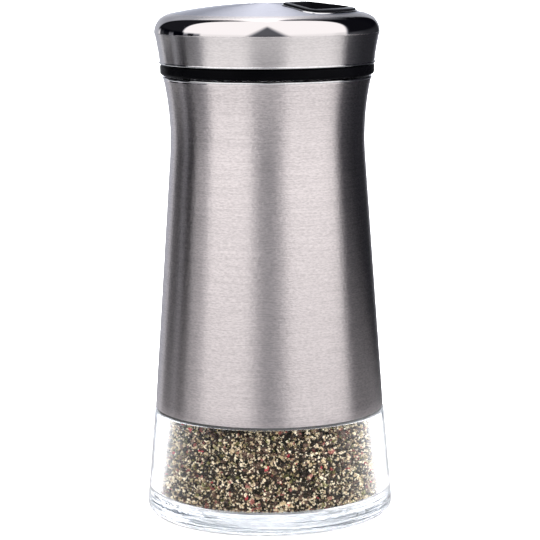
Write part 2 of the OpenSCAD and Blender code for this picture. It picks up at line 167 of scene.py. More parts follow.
class Paint:
    """A node tree that is being built: a material's or the world's."""

    def __init__(self, owner: Material | bpy.types.World) -> None:
        """Empties the node tree that is to be built.

        Args:
            owner: The material or world that it belongs to.
        """
        self.owner = owner
        owner.use_nodes = True
        self.tree = owner.node_tree
        self.tree.nodes.clear()

    @classmethod
    def material(cls, name: str) -> "Paint":
        """A new material's tree."""
        return cls(bpy.data.materials.new(name))

    def node(self, kind: str, settings: Settings, sockets: Sockets) -> bpy.types.Node:
        """Adds a node.

        Args:
            kind: The node's type.
            settings: Its settings by name, set first.
            sockets: The values or links of its sockets, by name or number.

        Returns:
            The new node.
        """
        node = self.tree.nodes.new(kind)
        for name, setting in settings.items():
            setattr(node, name, setting)
        for name, value in sockets.items():
            if isinstance(value, Value):
                value = value.socket
            if isinstance(value, Socket):
                self.tree.links.new(value, node.inputs[name])
            else:
                node.inputs[name].default_value = value
        return node

    def value(self, kind: str, settings: Settings, sockets: Sockets, output: str | int = 0) -> Value:
        """Adds a node and returns one of its outputs as a number."""
        return Value(self, self.node(kind, settings, sockets).outputs[output])

    def _parts(self, where: Socket) -> tuple[Value, Value, Value]:
        """The three numbers of a vector."""
        parts = self.node("ShaderNodeSeparateXYZ", {}, {0: where})
        return tuple(Value(self, parts.outputs[i]) for i in range(3))

    def where(self) -> Socket:
        """The point's place in the object's own frame, in millimetres."""
        return self.tinted(self.node("ShaderNodeTexCoord", {}, {}).outputs["Object"], 1 / MM)

    def place(self) -> tuple[Value, Value, Value]:
        """The three numbers of that place."""
        return self._parts(self.where())

    def sky(self) -> tuple[Value, Value, Value]:
        """The direction in which the world is seen."""
        return self._parts(self.node("ShaderNodeTexCoord", {}, {}).outputs["Generated"])

    def vector(self, x: Wired, y: Wired, z: Wired) -> Socket:
        """A vector of three numbers."""
        return self.node("ShaderNodeCombineXYZ", {}, {0: x, 1: y, 2: z}).outputs[0]

    def noise(self, where: Socket, scale: float, detail: float = 2.0, rough: float = 0.5) -> Value:
        """Noise from 0 to 1 at a place, in lumps of about 1 / scale."""
        sockets = {"Vector": where, "Scale": scale, "Detail": detail, "Roughness": rough}
        return self.value("ShaderNodeTexNoise", {"noise_dimensions": "3D"}, sockets, "Fac")

    def drawn_out(
        self, x: Value, y: Value, along: Value, flat: float, detail: float = 2.0, rough: float = 0.5
    ) -> Value:
        """Noise drawn out round the axis, in lumps 1 / flat long and about one unit of along across."""
        return self.noise(self.vector(x * flat, y * flat, along), 1.0, detail, rough)

    def ramp(self, at: Value, low: Colour, middle: Colour, high: Colour) -> Socket:
        """A colour from a ramp of three.

        Args:
            at: The place on the ramp, from 0 to 1.
            low: The colour at 0.
            middle: The colour at 0.5.
            high: The colour at 1.

        Returns:
            The colour's socket.
        """
        node = self.node("ShaderNodeValToRGB", {}, {"Fac": at})
        elements = node.color_ramp.elements
        elements.new(0.5)
        for element, colour in zip(elements, (low, middle, high)):
            element.color = (*colour, 1.0)
        return node.outputs["Color"]

    def mix(self, share: Wired, first: object, second: object) -> Socket:
        """A blend of two colours.

        Args:
            share: How much of the second there is, from 0 to 1.
            first: A colour or its socket.
            second: The other colour or its socket.

        Returns:
            The blend's socket.
        """
        colours = [(*c, 1.0) if isinstance(c, tuple) else c for c in (first, second)]
        sockets = {"Factor": share, 6: colours[0], 7: colours[1]}
        return self.node("ShaderNodeMix", {"data_type": "RGBA"}, sockets).outputs[2]

    def tinted(self, colour: object, strength: Wired) -> Socket:
        """A colour times a number."""
        sockets = {0: colour, "Scale": strength}
        return self.node("ShaderNodeVectorMath", {"operation": "SCALE"}, sockets).outputs[0]

    def bump(self, height: Value, distance: float) -> Socket:
        """A normal bent by a height from 0 to 1 that stands for a distance in metres."""
        return self.node("ShaderNodeBump", {}, {"Height": height, "Distance": distance}).outputs["Normal"]

    def surface(self, absorption: tuple[Colour, float] | None = None, **sockets: object) -> Material:
        """Ends a material in a Principled shader.

        Args:
            absorption: The colour and density of what fills it, if light passes through.
            sockets: The shader's inputs, with underscores for spaces.

        Returns:
            The finished material.
        """
        named = {name.replace("_", " "): value for name, value in sockets.items()}
        ends = {"Surface": self.node("ShaderNodeBsdfPrincipled", {}, named).outputs[0]}
        if absorption:
            colour, density = absorption
            inside = {"Color": (*colour, 1.0), "Density": density}
            ends["Volume"] = self.node("ShaderNodeVolumeAbsorption", {}, inside).outputs[0]
        self.node("ShaderNodeOutputMaterial", {}, ends)
        return self.owner


# ---------------------------------------------------------------- finishes


@dataclass(frozen=True)
class Brushing:
    """The marks of an abrasive belt that ran round the axis: short ones, and long faint ones among them."""

    mark_mm: float = 0.85
    width_mm: float = 0.27
    long_mm: float = 12.5
    long_width_mm: float = 0.25
    short_share: float = 0.65
    rough: float = 0.6
    depth: float = 0.00006
    dark: float = -0.20
    light: float = 0.15

    def marks(self, paint: Paint, x: Value, y: Value, along: Value) -> tuple[Value, Value]:
        """Lays the marks on a surface.

        Args:
            paint: The material.
            x: The place across.
            y: The place in depth.
            along: The place across the marks, up a wall or outwards on a top.

        Returns:
            The height of the short marks and the tone of both together, each from 0 to 1.
        """
        short = paint.drawn_out(x, y, along * (1 / self.width_mm), 1 / self.mark_mm, rough=self.rough)
        long = paint.drawn_out(x, y, along * (1 / self.long_width_mm), 1 / self.long_mm, rough=self.rough)
        return short, short * self.short_share + long * (1 - self.short_share)

    def shade(self, tone: Value, share: Value) -> Value:
        """What the marks make of the steel's colour, by their tone and by how far it is brushed."""
        return tone.spread(self.dark, self.light) * share + 1.0


@dataclass(frozen=True)
class BrushedSteel:
    """Stainless sheet brushed round the axis, rougher towards the foot and polished above a height."""

    name: str
    foot_z: float
    edge_z: float
    colour: Colour = (0.765, 0.712, 0.714)
    roughness: float = 0.265
    foot_roughness: float = 0.345
    tone_roughness: float = 0.04
    polish: float = 0.07
    soft: float = 0.08
    brushing: Brushing = Brushing()

    def material(self) -> Material:
        """Brushes the sheet up to its polished top edge.

        Returns:
            The finished material.
        """
        paint = Paint.material(self.name)
        x, y, z = paint.place()
        marks, tone = self.brushing.marks(paint, x, y, z)
        brushed = z.below(self.edge_z, self.soft)
        rough = z.step(self.foot_z, self.edge_z, self.foot_roughness, self.roughness) - self.polish
        return paint.surface(
            Base_Color=paint.tinted(self.colour, self.brushing.shade(tone, brushed)),
            Metallic=1.0,
            Roughness=(rough + tone * self.tone_roughness) * brushed + self.polish,
            Anisotropic=1.0,
            Anisotropic_Rotation=0.25,
            Normal=paint.bump(marks * brushed, self.brushing.depth),
        )


@dataclass(frozen=True)
class CapSteel:
    """The cap's sheet: satin crown with a circular grain, mirror shoulder, brushed skirt and a near-white
    hem that is partly a painted highlight.
    """

    name: str
    low_z: float
    shoulder_z: float
    satin_z: float
    crown_z: float
    colour: Colour = (0.77, 0.735, 0.735)
    crown_colour: Colour = (0.655, 0.665, 0.745)
    hem_highlight_colour: Colour = (1.0, 0.99, 0.99)
    hem_h: float = 0.42
    skirt_roughness: float = 0.24
    satin_roughness: float = 0.26
    polish: float = 0.04
    satin_marks: float = 0.7
    satin_soft: float = 0.5
    soft: float = 0.06
    hem_soft: float = 0.1
    brushing: Brushing = Brushing(depth=0.00004, dark=-0.12, light=0.09)

    def material(self) -> Material:
        """Gives each zone of the cap its own polish and grain.

        Returns:
            The finished material.
        """
        paint = Paint.material(self.name)
        x, y, z = paint.place()
        hem = self.low_z + self.hem_h
        skirt = z.below(self.shoulder_z, 2 * self.soft) * z.above(hem, self.soft)
        satin = z.above(self.satin_z, self.satin_soft)
        crown = z.above(self.crown_z, self.soft)
        marks, tone = self.brushing.marks(paint, x, y, skirt * z + (1.0 - skirt) * x.hypot(y))
        worked = skirt + satin * self.satin_marks
        # The near-white band at the hem is partly a painted highlight line.
        low_colour = paint.mix(z.step(hem, hem + self.hem_soft), self.hem_highlight_colour, self.colour)
        colour = paint.mix(crown, low_colour, self.crown_colour)
        return paint.surface(
            Base_Color=paint.tinted(colour, self.brushing.shade(tone, worked)),
            Metallic=1.0,
            Roughness=skirt * self.skirt_roughness + satin * self.satin_roughness + self.polish,
            Anisotropic=1.0,
            Anisotropic_Rotation=0.25,
            Normal=paint.bump(marks * worked, self.brushing.depth),
        )


@dataclass(frozen=True)
class PlainSteel:
    """Small stamped and turned steel pieces."""

    name: str
    colour: Colour = (0.62, 0.62, 0.63)
    roughness: float = 0.24
    worn: float = 1.7
    mottle_mm: float = 0.4
    depth: float = 0.00001

    def material(self) -> Material:
        """Mottles the steel faintly.

        Returns:
            The finished material.
        """
        paint = Paint.material(self.name)
        mottle = paint.noise(paint.where(), 1 / self.mottle_mm, 4.0)
        return paint.surface(
            Base_Color=paint.tinted(self.colour, mottle.spread(0.85, 1.08, 0.3)),
            Metallic=1.0,
            Roughness=mottle.spread(self.roughness, self.roughness * self.worn, 0.3),
            Normal=paint.bump(mottle, self.depth),
        )


@dataclass(frozen=True)
class Plastic:
    """Moulded plastic with a faint pattern from its flow and a fine grain."""

    name: str
    colour: Colour
    roughness: float
    grain_mm: float = 0.25
    depth: float = 0.000004
    shine: float = 0.5
    flow_per_mm: float = 0.12

    def material(self) -> Material:
        """Gives the plastic its pattern and its grain.

        Returns:
            The finished material.
        """
        paint = Paint.material(self.name)
        where = paint.where()
        flow = paint.noise(where, self.flow_per_mm, 3.0)
        grain = paint.noise(where, 1 / self.grain_mm, 2.0)
        return paint.surface(
            Base_Color=paint.tinted(self.colour, flow.spread(0.85, 1.25)),
            Roughness=grain.spread(self.roughness * 0.85, self.roughness * 1.2),
            Specular_IOR_Level=self.shine,
            Normal=paint.bump(grain, self.depth),
        )


@dataclass(frozen=True)
class ClearGlass:
    """Clear pressed glass, faintly blue where it is thick, with fine rings in its foot and dark strokes
    there that are painted streaks of shade and reflection.

    A grain is how many lumps of noise there are to a millimetre up the wall and round it.
    """

    name: str
    foot_z: float
    colour: Colour = (0.985, 0.985, 1.0)
    shade: Colour = (0.64, 0.745, 0.84)
    density: float = 6.0
    # The colour of the dark strokes in the foot: painted streaks of shade and reflection.
    painted_streak: Colour = (0.04, 0.05, 0.065)
    gleam: Colour = (0.05, 0.05, 0.05)
    wave: float = 0.00002
    rings: float = 0.00016
    wave_grain: Point = (0.55, 0.10)
    ring_grain: Point = (1.15, 0.012)
    painted_streak_grain: Point = (3.2, 0.04)
    painted_streak_slope: float = 0.6
    painted_streak_edge: Point = (0.41, 0.45)
    fade: float = 2.0

    def material(self) -> Material:
        """Tints the glass, lays the rings in its foot and paints dark streaks of shade and reflection
        there.

        Returns:
            The finished material.
        """
        paint = Paint.material(self.name)
        x, y, z = paint.place()
        radius = x.hypot(y)
        foot = z.step(self.foot_z, self.foot_z + self.fade, 1.0, 0.0)
        up, flat = self.wave_grain
        wave = paint.drawn_out(x, y, z * up, flat)
        up, flat = self.ring_grain
        ring = paint.drawn_out(x, y, (z + radius) * up, flat, 1.0)
        height = wave * (self.wave / MM) + ring * foot * (self.rings / MM)
        # Dark strokes in the foot: painted streaks of shade and reflection.
        up, flat = self.painted_streak_grain
        painted_streak = paint.drawn_out(x, y, z * up + radius * self.painted_streak_slope, flat, rough=0.7)
        pale = painted_streak.step(*self.painted_streak_edge) * foot + (1.0 - foot)
        return paint.surface(
            absorption=(self.shade, self.density),
            Base_Color=paint.mix(pale, self.painted_streak, self.colour),
            Roughness=0.0,
            IOR=1.5,
            Specular_Tint=(*self.gleam, 1.0),
            Transmission_Weight=1.0,
            Normal=paint.bump(height, MM),
        )


@dataclass(frozen=True)
class Peppercorn:
    """The tones of one kind of granule, from its darkest chip to its palest."""

    name: str
    dark: Colour
    middle: Colour
    pale: Colour
    tone_share: float = 0.6
    contrast: float = 3.0
    darkness: float = 1.38
    specks_per_mm: float = 4.5
    shine: float = 0.12
    depth: float = 0.00006

    def material(self) -> Material:
        """Colours each chip by its tone and the specks on it.

        Returns:
            The finished material.
        """
        paint = Paint.material(self.name)
        tone = paint.value("ShaderNodeAttribute", {"attribute_name": TONE}, {}, "Fac")
        speck = paint.noise(paint.where(), self.specks_per_mm, 3.0, 0.7)
        at = tone * self.tone_share + speck * self.contrast - self.darkness
        return paint.surface(
            Base_Color=paint.ramp(at, self.dark, self.middle, self.pale),
            Roughness=speck.spread(0.55, 0.85),
            Specular_IOR_Level=self.shine,
            Normal=paint.bump(speck, self.depth),
        )


# Near-white, nearly mirror steel for the edge beads: real edges, and partly painted highlight lines.
EDGE_HIGHLIGHT_STEEL = PlainSteel("edge_steel_painted_highlight", (0.86, 0.86, 0.87), 0.08)


# ---------------------------------------------------------------- shapes


def arc(centre: Point, radius: float, start: float, end: float, steps: int) -> list[Point]:
    """Points on an arc, from one angle to another in degrees."""
    angles = [math.radians(start + (end - start) * i / steps) for i in range(steps + 1)]
    return [(centre[0] + radius * math.cos(a), centre[1] + radius * math.sin(a)) for a in angles]


def inset(line: Sequence[Point], distance: float) -> list[Point]:
    """Moves a line from axis to axis to its left.

    Args:
        line: The line's (radius, height) points.
        distance: How far it moves.

    Returns:
        The moved line's points.
    """
    points = np.array(line)
    along = np.gradient(points, axis=0)
    along /= np.linalg.norm(along, axis=1)[:, None]
    points += distance * np.stack([-along[:, 1], along[:, 0]], 1)
    points[[0, -1], 0] = 0.0
    return [(float(radius), float(height)) for radius, height in points]


def new_object(name: str, mesh: Mesh, material: Material, sharp: float = 35.0) -> Object:
    """Puts a smooth-shaded mesh in the scene.

    Args:
        name: The piece's name, which the mesh takes too.
        mesh: Its mesh, in metres.
        material: Its finish.
        sharp: The angle in degrees past which an edge stays crisp.

    Returns:
        The new object.
    """
    mesh.name = name
    mesh.materials.append(material)
    mesh.polygons.foreach_set("use_smooth", [True] * len(mesh.polygons))
    mesh.set_sharp_from_angle(angle=math.radians(sharp))
    piece = bpy.data.objects.new(name, mesh)
    bpy.context.scene.collection.objects.link(piece)
    return piece


def finished(skin: bmesh.types.BMesh) -> Mesh:
    """Ends a skin as a mesh.

    Args:
        skin: The skin, which is freed.

    Returns:
        The mesh, with its normals outwards.
    """
    bmesh.ops.recalc_face_normals(skin, faces=skin.faces)
    mesh = bpy.data.meshes.new("skin")
    skin.to_mesh(mesh)
    skin.free()
    return mesh


def lathe_mesh(profile: Sequence[Point], segments: int = 224, closed: bool = True) -> Mesh:
    """Turns a profile round the axis.

    Args:
        profile: Its (radius, height) points in millimetres; it may start and end on the axis.
        segments: How many facets there are round the axis.
        closed: Whether the last point joins the first.

    Returns:
        The mesh, with its normals outwards.
    """
    skin = bmesh.new()
    rings: list[list[bmesh.types.BMVert]] = []
    for radius, height in profile:
        if radius < 1e-6:
            rings.append([skin.verts.new((0, 0, height * MM))])
            continue
        turns = [TURN * i / segments for i in range(segments)]
        places = [(radius * MM * math.cos(t), radius * MM * math.sin(t), height * MM) for t in turns]
        rings.append([skin.verts.new(place) for place in places])
    pairs = list(zip(rings, rings[1:])) + ([(rings[-1], rings[0])] if closed else [])
    for low, high in pairs:
        if len(low) == len(high) == 1:
            continue
        for i in range(segments):
            j = (i + 1) % segments
            corners = [low[i % len(low)], low[j % len(low)], high[j % len(high)], high[i % len(high)]]
            skin.faces.new(list(dict.fromkeys(corners)))
    return finished(skin)


def loft_mesh(rings: Sequence[Sequence[Sequence[float]]], closed: bool = True) -> Mesh:
    """Joins closed rings of equally many points into a skin.

    Args:
        rings: The rings, each a list of (x, y, z) points in millimetres.
        closed: Whether the last ring joins the first; otherwise both ends are capped.

    Returns:
        The mesh, with its normals outwards.
    """
    skin = bmesh.new()
    verts = [[skin.verts.new([c * MM for c in point]) for point in ring] for ring in rings]
    count = len(verts[0])
    pairs = list(zip(verts, verts[1:])) + ([(verts[-1], verts[0])] if closed else [])
    for low, high in pairs:
        for i in range(count):
            j = (i + 1) % count
            skin.faces.new((low[i], low[j], high[j], high[i]))
    if not closed:
        skin.faces.new(verts[0])
        skin.faces.new(verts[-1])
    return finished(skin)


def cut(piece: Object, cutter: Mesh) -> None:
    """Cuts a closed mesh out of a piece.

    Args:
        piece: The piece, which keeps the result.
        cutter: What is cut out of it.
    """
    tool = bpy.data.objects.new("cutter", cutter)
    bpy.context.scene.collection.objects.link(tool)
    modifier = piece.modifiers.new("cut", "BOOLEAN")
    modifier.operation = "DIFFERENCE"
    modifier.solver = "EXACT"
    modifier.object = tool
    graph = bpy.context.evaluated_depsgraph_get()
    result = bpy.data.meshes.new_from_object(piece.evaluated_get(graph))
    piece.modifiers.remove(modifier)
    piece.data = result
    bpy.data.objects.remove(tool)


def settle(piece: Object, body: Body, slot: str, *nodes: str) -> None:
    """Puts a piece on the body that it rides on and hides the CAD nodes that it stands for.

    Args:
        piece: The piece.
        body: The body that it rides on.
        slot: The material slot that it belongs to; not used.
        nodes: The CAD nodes that it replaces, if any.
    """
    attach(piece, body.value)
    if nodes:
        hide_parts(*nodes)
    LOG.info("%s rides on %s, %d faces", piece.name, body.value, len(piece.data.polygons))


def edge_bead(name: str, radius: float, z: float) -> Object:
    """A fine bead of near-white steel round the shaker: a real edge whose pale colour is partly a painted
    highlight.

    Args:
        name: The piece's name.
        radius: Its middle line's radius in millimetres.
        z: That line's height in millimetres.

    Returns:
        The piece.
    """
    size = 0.28
    profile = arc((radius, z), size, -180, 160, 17)
    return new_object(name, lathe_mesh(profile), EDGE_HIGHLIGHT_STEEL.material(), 60)


@dataclass(frozen=True)
class Thread:
    """The right-handed screw that the neck and the collar share. Lengths are in millimetres."""

    shoulder_z: float
    clear: float = 2.0
    lead: float = 4.233
    width: float = 1.5
    start: float = 40.0
    fade: float = 0.08
    tip: float = 0.06
    tip_width: float = 0.4
    facets: int = 96

    def ridge(self, root_r: float, crest_r: float, turns: float, lift: float = 0.0) -> Mesh:
        """A ridge swept along the screw and tapered away at both ends.

        Args:
            root_r: The radius of the ridge's foot.
            crest_r: The radius of its crest.
            turns: How many turns it makes.
            lift: How far above the screw's start it starts.

        Returns:
            The ridge's mesh.
        """
        steps = int(turns * self.facets)
        section = [(0.0, -0.5), (0.62, -0.34), (1.0, -0.12), (1.0, 0.12), (0.62, 0.34), (0.0, 0.5)]
        rings = []
        for i in range(steps + 1):
            along = i / steps
            size = min(1.0, along / self.fade, (1 - along) / self.fade)
            size = self.tip + (1 - self.tip) * math.sin(size * math.pi / 2)
            width = self.width * (self.tip_width + (1 - self.tip_width) * size)
            angle = math.radians(self.start) + along * turns * TURN
            middle_z = self.shoulder_z + self.clear + lift + self.lead * turns * along
            ring = []
            for out, up in section:
                radius = root_r + (crest_r - root_r) * out * size
                ring.append((radius * math.cos(angle), radius * math.sin(angle), middle_z + width * up))
            rings.append(ring)
        return loft_mesh(rings, closed=False)


@dataclass
class WaistLine:
    """The sleeve's side, a straight cone that runs into the waist's curve. Lengths are in millimetres."""

    foot_z: float
    foot_r: float
    waist_r: float = 23.4
    waist_h: float = 65.6
    curve_r: float = 67.0

    def __post_init__(self) -> None:
        """Works out the curve's centre and where the cone meets it."""
        self.centre = (self.waist_r + self.curve_r, self.foot_z + self.waist_h)
        across, up = self.centre[0] - self.foot_r, self.waist_h
        self.cone = math.atan2(up, across) - math.acos(self.curve_r / math.hypot(across, up))

    def cone_r(self, z: float, inset: float) -> float:
        """The cone's radius at a height."""
        return self.foot_r - inset / math.cos(self.cone) - (z - self.foot_z) * math.tan(self.cone)

    def points(self, inset: float, from_z: float, to_angle: float) -> list[Point]:
        """The line from a height on the cone to an angle on the curve, in degrees.

        Args:
            inset: How far inside the sleeve's outer surface it runs.
            from_z: The height at which it starts.
            to_angle: The angle at which it ends; 0 is the waist itself.

        Returns:
            Its (radius, height) points.
        """
        cone_steps, curve_steps = 24, 40
        join_z = self.centre[1] - (self.curve_r + inset) * math.sin(self.cone)
        heights = [from_z + (join_z - from_z) * i / cone_steps for i in range(cone_steps)]
        start = math.degrees(self.cone)
        curve = arc((0, 0), self.curve_r + inset, start, to_angle, curve_steps)
        return [(self.cone_r(z, inset), z) for z in heights] + [
            (self.centre[0] - x, self.centre[1] - y) for x, y in curve
        ]


@dataclass
class CapLine:
    """The cap's outer surface: crown, rounded shoulder and hollow skirt. Lengths are in millimetres."""

    low_z: float
    top_r: float
    flare: float = 1.25
    skirt_h: float = 7.45
    skirt_curve_r: float = 46.0
    shoulder_r: float = 4.5
    crown_h: float = 6.8
    hem_r: float = 0.8
    hem_w: float = 1.0

    def __post_init__(self) -> None:
        """Works out the centres of the crown, the shoulder, the skirt and the hem."""
        self.low_r = self.top_r - self.flare
        self.shoulder_z = self.low_z + self.skirt_h
        self.crown_z = self.shoulder_z + self.crown_h
        self.shoulder_c = (self.top_r - self.shoulder_r, self.shoulder_z)
        reach = self.shoulder_c[0]
        rise = self.crown_h - self.shoulder_r
        self.crown_r = (reach**2 + self.crown_h**2 - self.shoulder_r**2) / (2 * rise)
        self.crown_c = self.crown_z - self.crown_r
        self.crown_angle = math.degrees(math.atan2(self.shoulder_z - self.crown_c, reach))
        chord = math.hypot(self.flare, self.skirt_h)
        away = math.sqrt(self.skirt_curve_r**2 - (chord / 2) ** 2)
        self.skirt_c = (
            (self.top_r + self.low_r) / 2 + away * self.skirt_h / chord,
            self.low_z + self.skirt_h / 2 - away * self.flare / chord,
        )
        reach = self.skirt_curve_r + self.hem_r
        self.hem_angle = math.degrees(math.asin((self.skirt_c[1] - self.low_z - self.hem_r) / reach))
        turn = math.radians(self.hem_angle)
        self.hem_c = (self.skirt_c[0] - reach * math.cos(turn), self.skirt_c[1] - reach * math.sin(turn))

    def crown_at(self, radius: float, inset: float) -> float:
        """The crown's height at a radius, for the surface at an inset."""
        return self.crown_c + math.sqrt((self.crown_r - inset) ** 2 - radius**2)

    def skirt_at(self, z: float, inset: float) -> float:
        """The skirt's radius at a height, for the surface at an inset."""
        return self.skirt_c[0] - math.sqrt((self.skirt_curve_r + inset) ** 2 - (z - self.skirt_c[1]) ** 2)

    def shell(self, inset: float) -> list[Point]:
        """One side of the sheet, from the middle of the crown to the inner edge of the hem.

        Args:
            inset: How far inside the outer surface it runs.

        Returns:
            Its (radius, height) points.
        """
        hem_z = self.hem_c[1] + self.hem_r * math.sin(math.radians(self.hem_angle))
        steps = 14
        heights = [self.shoulder_z + (hem_z - self.shoulder_z) * i / steps for i in range(1, steps + 1)]
        return (
            arc((0, self.crown_c), self.crown_r - inset, 90, self.crown_angle, 44)
            + arc(self.shoulder_c, self.shoulder_r - inset, self.crown_angle, 0, 26)[1:]
            + [(self.skirt_at(z, inset), z) for z in heights]
            + arc(self.hem_c, self.hem_r - inset, self.hem_angle, -90, 10)[1:]
            + [(self.low_r - self.hem_w, self.low_z + inset)]
        )


@dataclass
class WindowLine:
    """The outline of the dial's window: a sector between two radii with round corners, in millimetres."""

    turn: float = -28.0
    outer_r: float = 19.5
    length: float = 9.9
    angle: float = 58.0
    corner_r: float = 1.2

    def points(self, grow: float) -> list[Point]:
        """The outline, grown outwards all round.

        Args:
            grow: How far outwards.

        Returns:
            Its (x, y) points, always equally many.
        """
        inner, outer, corner = self.outer_r - self.length - grow, self.outer_r + grow, self.corner_r + grow
        half = self.angle / 2
        inner_a = half + math.degrees(math.asin((grow - corner) / (inner + corner)))
        outer_a = half + math.degrees(math.asin((grow - corner) / (outer - corner)))

        def at(radius: float, degrees: float) -> Point:
            """A point by its radius and direction."""
            return radius * math.cos(math.radians(degrees)), radius * math.sin(math.radians(degrees))

        side = (
            arc((0, 0), outer, 0, outer_a, 16)
            + arc(at(outer - corner, outer_a), corner, outer_a, half + 90, 8)[1:]
            + arc(at(inner + corner, inner_a), corner, half + 90, 180 + inner_a, 8)
            + arc((0, 0), inner, inner_a, 0, 8)[1:]
        )
        outline = side + [(x, -y) for x, y in side[-2:0:-1]]
        c, s = math.cos(math.radians(self.turn)), math.sin(math.radians(self.turn))
        return [(x * c - y * s, x * s + y * c) for x, y in outline]


# ---------------------------------------------------------------- sub-assemblies


@dataclass
class Jar:
    """The glass jar, its thread and the sleeve round it. Lengths are in millimetres."""

    line: WaistLine
    thread: Thread
    band_h: float
    foot_r: float
    rim_z: float
    shoulder_z: float
    sheet: float = 0.5
    sleeve_gap: float = 0.25
    band_wall: float = 2.5
    body_wall: float = 2.4
    floor_h: float = 4.4
    floor_corner_r: float = 1.6
    foot_edge_r: float = 2.2
    ledge_w: float = 0.2
    ledge_edge_r: float = 0.3
    push_up: float = 0.9
    foot_ring_w: float = 3.8
    foot_ring_r: float = 0.5
    foot_ring_out: float = 0.8
    shoulder_edge_r: float = 1.0
    ledge_step: float = 0.2
    ease: float = 0.6
    neck_fillet_r: float = 0.4
    neck_r: float = 19.0
    thread_r: float = 19.85
    thread_sink: float = 0.15
    thread_turns: float = 1.35
    mouth_r: float = 16.4
    rim_r: float = 0.8
    bend_r: float = 0.5
    lip: float = 0.16
    flange_gap: float = 0.3
    polished_h: float = 0.75
    bead_drop: float = 0.25
    bead_sink: float = 0.1

    def band_r(self, z: float) -> float:
        """The band's outer radius at a height."""
        flare = self.foot_r - self.line.foot_r - self.ledge_w
        return self.foot_r - flare * (z - self.foot_edge_r) / (self.band_h - self.foot_edge_r)

    def inner_line(self, gap: float) -> list[Point]:
        """The jar's inner side, from the middle of the floor up to the waist.

        Args:
            gap: How far inwards it is moved.

        Returns:
            Its (radius, height) points.
        """
        corner_z = self.floor_h + self.floor_corner_r
        corner = (self.band_r(corner_z) - self.band_wall - self.floor_corner_r, corner_z)
        inset = self.sheet + self.sleeve_gap + self.body_wall
        return (
            [(0.0, self.floor_h + gap), (corner[0] * 0.5, self.floor_h + gap)]
            + arc(corner, self.floor_corner_r - gap, -90, 0, 14)
            + [(self.line.cone_r(self.band_h, inset) - gap, self.band_h)]
            + self.line.points(inset + gap, self.band_h + self.ease, 0)
        )

    def glass(self) -> None:
        """The jar itself, one closed skin over its wall, and the thread on its neck."""
        ring_r = self.foot_r - self.foot_edge_r - self.foot_ring_w
        push_r = (ring_r**2 + self.push_up**2) / (2 * self.push_up)
        reach = 90 - 2 * math.degrees(math.atan(self.push_up / ring_r))
        inset = self.sheet + self.sleeve_gap
        body_r = self.line.waist_r - inset
        curve = body_r - self.body_wall - self.mouth_r
        edge, fillet = self.shoulder_edge_r, self.neck_fillet_r
        foot, ring = self.foot_edge_r, self.foot_ring_r
        ledge = (self.line.foot_r + self.ledge_w - self.ledge_edge_r, self.band_h - self.ledge_edge_r)
        outside = (
            arc((0, self.push_up - push_r), push_r, 90, reach, 16)
            + arc((ring_r + self.foot_ring_out, ring), ring, 200, 270, 5)
            + arc((self.foot_r - foot, foot), foot, -90, 4, 16)
            + arc(ledge, self.ledge_edge_r, 4, 90, 6)
            + [(self.line.cone_r(self.band_h, inset) + self.ledge_step, self.band_h)]
            + self.line.points(inset, self.band_h + self.ledge_step, 0)
            + arc((body_r - edge, self.shoulder_z - edge), edge, 0, 90, 8)
            + arc((self.neck_r + fillet, self.shoulder_z + fillet), fillet, -90, -180, 5)
            + arc((self.neck_r - self.rim_r, self.rim_z - self.rim_r), self.rim_r, 0, 90, 8)
            + arc((self.mouth_r + self.rim_r, self.rim_z - self.rim_r), self.rim_r, 90, 180, 8)
        )
        inside = self.inner_line(0) + arc(
            (self.mouth_r, self.shoulder_z - self.body_wall - curve), curve, 0, 90, 14
        )
        mesh = lathe_mesh(outside + inside[::-1], closed=False)
        finish = ClearGlass("clear_glass", self.floor_h)
        glass = new_object("jar_glass", mesh, finish.material(), 60)
        settle(glass, Body.JAR, "clear_glass", "glass_jar")
        mesh = self.thread.ridge(self.neck_r - self.thread_sink, self.thread_r, self.thread_turns)
        settle(new_object("neck_thread", mesh, glass.data.materials[0], 60), Body.JAR, "clear_glass")

    def sleeve_edge(self, top_z: float) -> None:
        """The bright bead at the top of the sleeve, whose near-white steel is partly a painted highlight.

        Args:
            top_z: The height of the sleeve's top.
        """
        z = top_z - self.bead_drop
        up = math.asin((self.line.centre[1] - z) / self.line.curve_r)
        radius = self.line.centre[0] - self.line.curve_r * math.cos(up)
        settle(edge_bead("sleeve_edge", radius - self.bead_sink, z), Body.JAR, "brushed_sleeve")

    def sleeve(self, top_z: float) -> None:
        """The steel sleeve, with its turned-in top edge and a fine chamfer at its lower edge.

        Args:
            top_z: The height of its top.
        """
        reach = self.line.curve_r + self.bend_r
        bend_angle = math.degrees(math.asin((self.line.centre[1] - top_z + self.bend_r) / reach))
        turn = math.radians(bend_angle)
        across, up = self.line.centre
        centre = (across - reach * math.cos(turn), up - reach * math.sin(turn))
        foot_z = self.line.foot_z

        def side(inset: float) -> list[Point]:
            """One side of the sheet, from its lower edge to the flange."""
            return (
                self.line.points(inset, foot_z + self.lip, bend_angle)
                + arc(centre, self.bend_r - inset, bend_angle, 90, 10)[1:]
                + [(self.thread_r + self.flange_gap, top_z - inset)]
            )

        outer, inner = side(0), side(self.sheet)
        low_outer, low_inner = self.line.cone_r(foot_z, 0.0), self.line.cone_r(foot_z, self.sheet)
        turned = self.lip * 0.3
        lip = [
            (low_inner + self.lip, foot_z),
            (low_outer - self.lip, foot_z),
            (low_outer - turned, foot_z + turned),
        ]
        mesh = lathe_mesh(lip + outer + inner[::-1])
        finish = BrushedSteel("brushed_steel", foot_z, top_z - self.polished_h)
        sleeve = new_object("sleeve_steel", mesh, finish.material())
        settle(sleeve, Body.JAR, "brushed_sleeve", "steel_sleeve")


@dataclass(frozen=True)
class Grind:
    """One kind of granule: its finish, its share and its chips' half-lengths in millimetres."""

    finish: Peppercorn
    share: float
    small: float
    large: float


